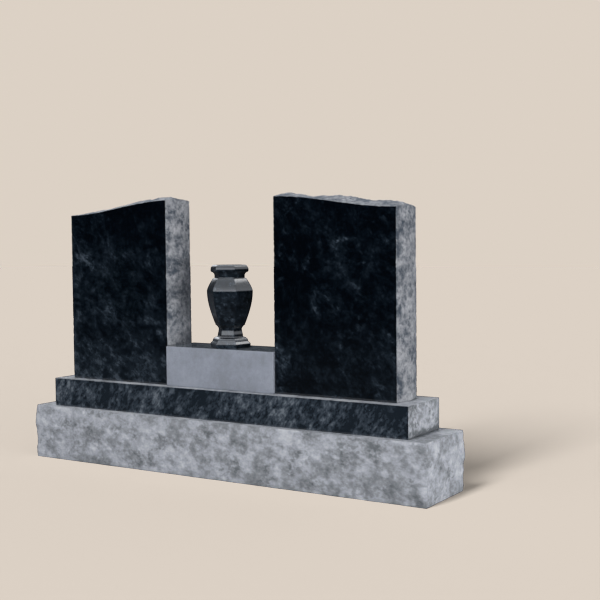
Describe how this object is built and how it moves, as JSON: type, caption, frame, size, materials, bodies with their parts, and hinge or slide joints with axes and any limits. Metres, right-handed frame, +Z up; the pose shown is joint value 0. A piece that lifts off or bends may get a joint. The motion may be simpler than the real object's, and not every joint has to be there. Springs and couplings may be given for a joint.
{
  "type": "headstone",
  "caption": "Wing tablets with polished faces and rock-pitched edges on a stepped base, with a plain block between them that carries a hexagonal bored flower vase.",
  "frame": {"origin": "middle of the base's underside", "axes": "+X along the base towards the right-hand tablet as seen from the front, -Y towards the viewer in front of the polished faces, +Z up"},
  "size_m": [1.836, 0.318, 1.0835],
  "materials": {
    "base_granite": "rock-pitched",
    "sub_base_granite": "polished front and back, rock-pitched ends",
    "tablet_granite": "polished faces, rock-pitched edges",
    "block_granite": "honed, polished top",
    "vase_granite": "polished"
  },
  "bodies": {
    "root": {"base": "base_granite", "sub_base": "sub_base_granite", "tablet_left": "tablet_granite", "tablet_right": "tablet_granite", "vase_block": "block_granite", "vase": "vase_granite"}
  },
  "joints": []
}
